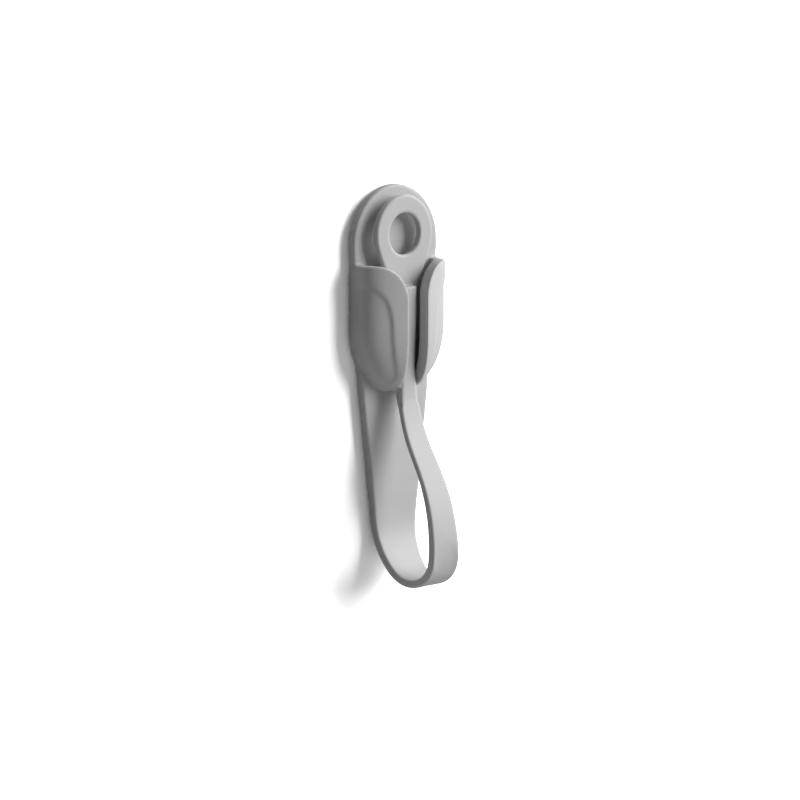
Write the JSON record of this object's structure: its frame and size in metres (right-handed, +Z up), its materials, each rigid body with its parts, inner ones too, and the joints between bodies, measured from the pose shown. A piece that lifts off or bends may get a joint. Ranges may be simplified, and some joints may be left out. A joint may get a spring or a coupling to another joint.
{
  "type": "adhesive cable clip",
  "caption": "Wall-mounted soft cable clip: an adhesive-backed plate whose tail turns up as a strap loop and tucks its ringed neck between the two wings of a cradle.",
  "frame": {"origin": "middle of the adhesive pad's back face, on the wall", "axes": "+Z up along the wall, +Y into the wall, so the clip stands out towards -Y; +X to the right seen from the front"},
  "size_m": [0.026, 0.0183, 0.0892],
  "materials": {
    "clip_rubber": "satin",
    "pad_foam": "matte"
  },
  "bodies": {
    "root": {"clip_body": "clip_rubber", "adhesive_pad": "pad_foam"}
  },
  "joints": []
}
